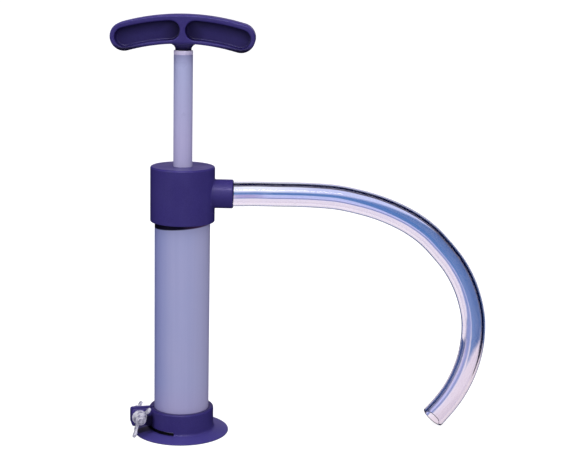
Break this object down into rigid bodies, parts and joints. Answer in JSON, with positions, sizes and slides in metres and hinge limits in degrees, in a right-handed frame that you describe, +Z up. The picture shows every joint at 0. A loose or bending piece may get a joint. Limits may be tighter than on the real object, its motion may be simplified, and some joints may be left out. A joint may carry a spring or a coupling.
{
  "type": "hand bilge pump",
  "caption": "Upright hand bilge pump with a T-handle plunger, a plastic barrel, a cap with a side spout and bent clear hose, and a round clamp foot with a wing nut.",
  "frame": {"origin": "on the barrel's axis, at the flat underside of the foot's flange", "axes": "+Z up along the barrel and the plunger rod; +X along the spout; the front is -Y, where the wing nut faces"},
  "size_m": [0.3439, 0.087, 0.3823],
  "materials": {
    "indigo_plastic": "injection-moulded indigo plastic, fine grain, semi-gloss",
    "barrel_plastic": "milky lavender-white extruded tube, satin",
    "rod_plastic": "pale lavender tube, satin",
    "nylon": "natural nylon",
    "rubber": "black nitrile",
    "zinc_steel": "bright zinc-plated steel",
    "clear_hose": "clear flexible PVC tube"
  },
  "bodies": {
    "foot": {"base_foot": "indigo_plastic", "foot_gasket": "rubber", "inlet_strainer": "nylon", "wing_bolt": "zinc_steel", "rear_washer": "zinc_steel"},
    "pump": {"barrel": "barrel_plastic", "pump_head": "indigo_plastic", "head_seal": "rubber", "gland_bush": "nylon", "rod_seal": "rubber", "foot_valve_seat": "nylon", "foot_valve_screw": "zinc_steel", "foot_valve_nut": "zinc_steel", "outlet_hose": "clear_hose"},
    "foot_valve": {"foot_valve_disc": "rubber"},
    "piston_seal": {"piston_ring": "rubber"},
    "plunger": {"piston_body": "nylon", "valve_retainer": "zinc_steel", "piston_screw": "zinc_steel", "rod_plug": "nylon", "rod_tube": "rod_plastic", "rod_ferrule": "rod_plastic", "stop_buffer": "rubber", "t_handle": "indigo_plastic"},
    "piston_valve": {"piston_valve_disc": "rubber"},
    "clamp_washer": {"front_washer": "zinc_steel"},
    "clamp_nut": {"wing_nut": "zinc_steel"}
  },
  "joints": [
    {"name": "foot_swivel", "type": "hinge", "parent": "foot", "child": "pump", "pos_m": [0, 0, 0.015], "axis": [0, 0, 1], "continuous": true},
    {"name": "foot_valve_lift", "type": "slide", "parent": "pump", "child": "foot_valve", "axis": [0, 0, 1], "range_m": [0, 0.004]},
    {"name": "plunger_stroke", "type": "slide", "parent": "pump", "child": "piston_seal", "axis": [0, 0, 1], "range_m": [-0.1, 0.072]},
    {"name": "handle_turn", "type": "hinge", "parent": "piston_seal", "child": "plunger", "pos_m": [0, 0, 0.13], "axis": [0, 0, 1], "continuous": true},
    {"name": "piston_valve_lift", "type": "slide", "parent": "plunger", "child": "piston_valve", "axis": [0, 0, 1], "range_m": [0, 0.003]},
    {"name": "washer_slide", "type": "slide", "parent": "foot", "child": "clamp_washer", "axis": [0.2419, -0.9703, 0], "range_m": [0, 0.003]},
    {"name": "wing_nut_turn", "type": "hinge", "parent": "clamp_washer", "child": "clamp_nut", "pos_m": [-0.03695, -0.01715, 0.0165], "axis": [0.2419, -0.9703, 0], "range_deg": [0, 1080]}
  ],
  "couplings": [
    {"joint": "washer_slide", "follows": "wing_nut_turn", "m_per_rad": 0.000159}
  ]
}
